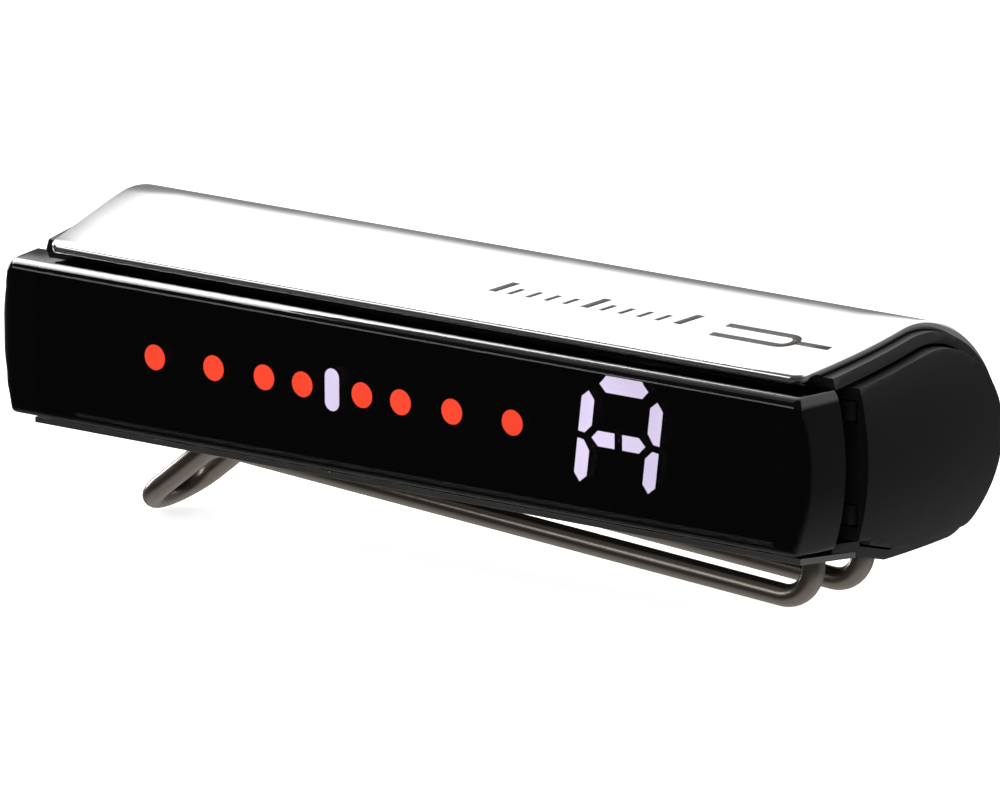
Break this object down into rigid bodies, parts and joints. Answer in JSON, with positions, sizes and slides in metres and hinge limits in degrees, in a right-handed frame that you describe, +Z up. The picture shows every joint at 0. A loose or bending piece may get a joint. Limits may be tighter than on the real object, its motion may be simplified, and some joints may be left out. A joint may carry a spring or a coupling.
{
  "type": "clip on tuner",
  "caption": "Bar-shaped instrument tuner: aluminium cover, smoked front window with a row of lights and a note display, hinged battery cap and a hairpin spring clip for a strap.",
  "frame": {"origin": "on the table, under the centre of the whole object", "axes": "+X along the bar to the battery cap, +Y from the window to the round back, +Z up"},
  "size_m": [0.0875, 0.0274, 0.0259],
  "materials": {
    "cover_metal": "fine satin with bright reflections",
    "plate_steel": "satin sheet",
    "black_plastic": "fine satin black",
    "smoked_window": "smoked, high gloss",
    "seal_rubber": "soft black",
    "block_black": "flat black",
    "red_glow": "lit red diffuser",
    "white_glow": "lit cool white diffuser",
    "board_green": "solder mask",
    "chip_black": "moulded package",
    "chip_amber": "light chip",
    "spring_wire": "polished dark nickel",
    "zinc": "plain cast and machined",
    "screw_steel": "turned",
    "cell_jacket": "printed metal sleeve, plain",
    "contact_metal": "nickel plated",
    "brass_disc": "thin sheet",
    "piezo_white": "silvered ceramic",
    "foam": "foam",
    "button_plastic": "satin dark grey"
  },
  "bodies": {
    "case": {"metal_cover": "cover_metal", "main_case": "black_plastic", "front_lens": "smoked_window", "lens_gasket": "seal_rubber", "light_block": "block_black", "red_lights": "red_glow", "centre_light": "white_glow", "note_segments": "white_glow", "display_board": "board_green", "red_chips": "chip_amber", "white_chips": "chip_amber", "bottom_plate": "plate_steel", "plate_screws": "screw_steel", "left_end_cap": "black_plastic", "cap_screws": "screw_steel", "cap_hinge_pin": "screw_steel", "battery": "cell_jacket", "battery_spring": "contact_metal", "spring_plate": "contact_metal", "main_board": "board_green", "processor_chip": "chip_black", "clock_crystal": "zinc", "small_chips": "chip_black", "piezo_disc": "brass_disc", "piezo_ceramic": "piezo_white", "piezo_pad": "foam", "clip_anchor": "zinc", "clip_screws": "screw_steel", "power_switch": "zinc", "tuning_switch": "zinc", "button_board": "board_green"},
    "clip": {"clip_wire": "spring_wire"},
    "end_cap": {"battery_cap": "black_plastic", "cap_contact": "contact_metal"},
    "power": {"power_button": "button_plastic", "power_plunger": "chip_black"},
    "tuning": {"tuning_button": "button_plastic", "tuning_plunger": "chip_black"}
  },
  "joints": [
    {"name": "clip_open", "type": "hinge", "parent": "case", "child": "clip", "pos_m": [0.0355, -0.00105, 0.00985], "axis": [0, -1, 0], "range_deg": [0, 8], "stiffness_Nm_per_rad": 2, "springref_deg": -2.86},
    {"name": "end_cap_open", "type": "hinge", "parent": "case", "child": "end_cap", "pos_m": [0.0409, -0.0065, 0.0169], "axis": [0, 0, -1], "range_deg": [0, 90]},
    {"name": "power_press", "type": "slide", "parent": "case", "child": "power", "axis": [1, 0, 0], "range_m": [0, 0.0005], "stiffness_N_per_m": 600, "springref_m": -0.0005},
    {"name": "tuning_press", "type": "slide", "parent": "case", "child": "tuning", "axis": [1, 0, 0], "range_m": [0, 0.0005], "stiffness_N_per_m": 600, "springref_m": -0.0005}
  ]
}
